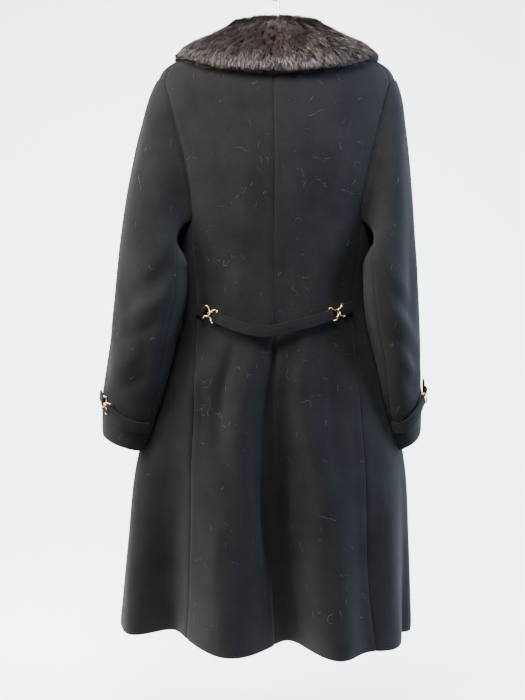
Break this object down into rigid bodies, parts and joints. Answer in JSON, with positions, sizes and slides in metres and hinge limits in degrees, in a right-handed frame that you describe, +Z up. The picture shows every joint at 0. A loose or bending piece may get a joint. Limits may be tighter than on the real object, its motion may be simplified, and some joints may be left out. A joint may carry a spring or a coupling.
{
  "type": "single-breasted coat on a hanger",
  "caption": "Long single-breasted wool coat with a wide fur collar, a sagging half belt and cuff straps on metal links, hanging on a plain hanger.",
  "frame": {"origin": "inner top of the hanger's hook, where a rail carries it; the coat lies below", "axes": "+X towards the wearer's right, -Y out of the coat's back, +Z up"},
  "size_m": [0.5449, 0.2414, 1.1116],
  "materials": {
    "wool": "black wool cloth with a short nap",
    "fur": "dark brown fur, glossy at the tips",
    "gold": "polished",
    "button": "smooth black",
    "hanger": "matte black",
    "wire": "plain wire"
  },
  "bodies": {
    "root": {"back_left": "wool", "back_right": "wool", "front_left": "wool", "front_right": "wool", "sleeve_left_upper": "wool", "sleeve_left_under": "wool", "sleeve_right_upper": "wool", "sleeve_right_under": "wool", "collar_fur": "fur", "half_belt": "wool", "belt_tab_left": "wool", "belt_tab_right": "wool", "belt_link_left_a": "gold", "belt_link_left_b": "gold", "belt_link_right_a": "gold", "belt_link_right_b": "gold", "cuff_strap_left": "wool", "cuff_strap_right": "wool", "cuff_tab_left": "wool", "cuff_tab_right": "wool", "cuff_link_left_a": "gold", "cuff_link_left_b": "gold", "cuff_link_right_a": "gold", "cuff_link_right_b": "gold", "button_1": "button", "button_2": "button", "button_3": "button", "button_4": "button", "hanger_body": "hanger", "hanger_hook": "wire"}
  },
  "joints": []
}
